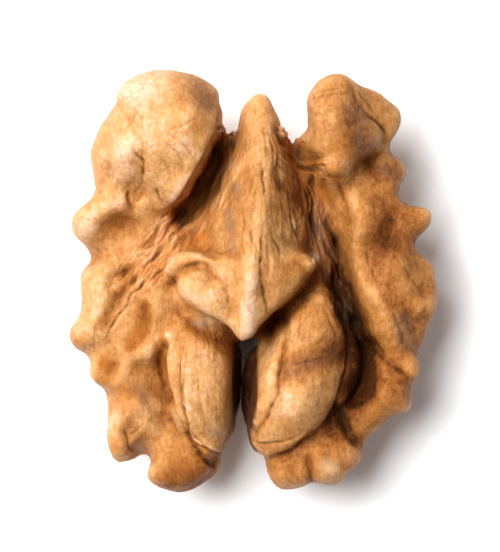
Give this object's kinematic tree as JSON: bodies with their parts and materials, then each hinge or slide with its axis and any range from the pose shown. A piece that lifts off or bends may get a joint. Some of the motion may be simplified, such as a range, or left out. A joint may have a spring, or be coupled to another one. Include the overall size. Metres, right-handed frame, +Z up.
{
  "type": "walnut kernel half",
  "caption": "Half of a shelled walnut kernel on its rounded back: lobed rim, tall central root with a heart-shaped plate, and a slit between the lower lobes.",
  "frame": {"origin": "middle of the kernel's outline, on the plane that its rounded back rests on", "axes": "+X across the kernel, +Y along it from the slit towards the tip of the root, +Z up out of the inner face"},
  "size_m": [0.028, 0.0318, 0.014],
  "materials": {
    "kernel_skin": "dry papery seed skin, pale straw on the raised lobes and orange brown in the hollows, with darker veins"
  },
  "bodies": {
    "root": {"walnut_kernel_half": "kernel_skin"}
  },
  "joints": []
}
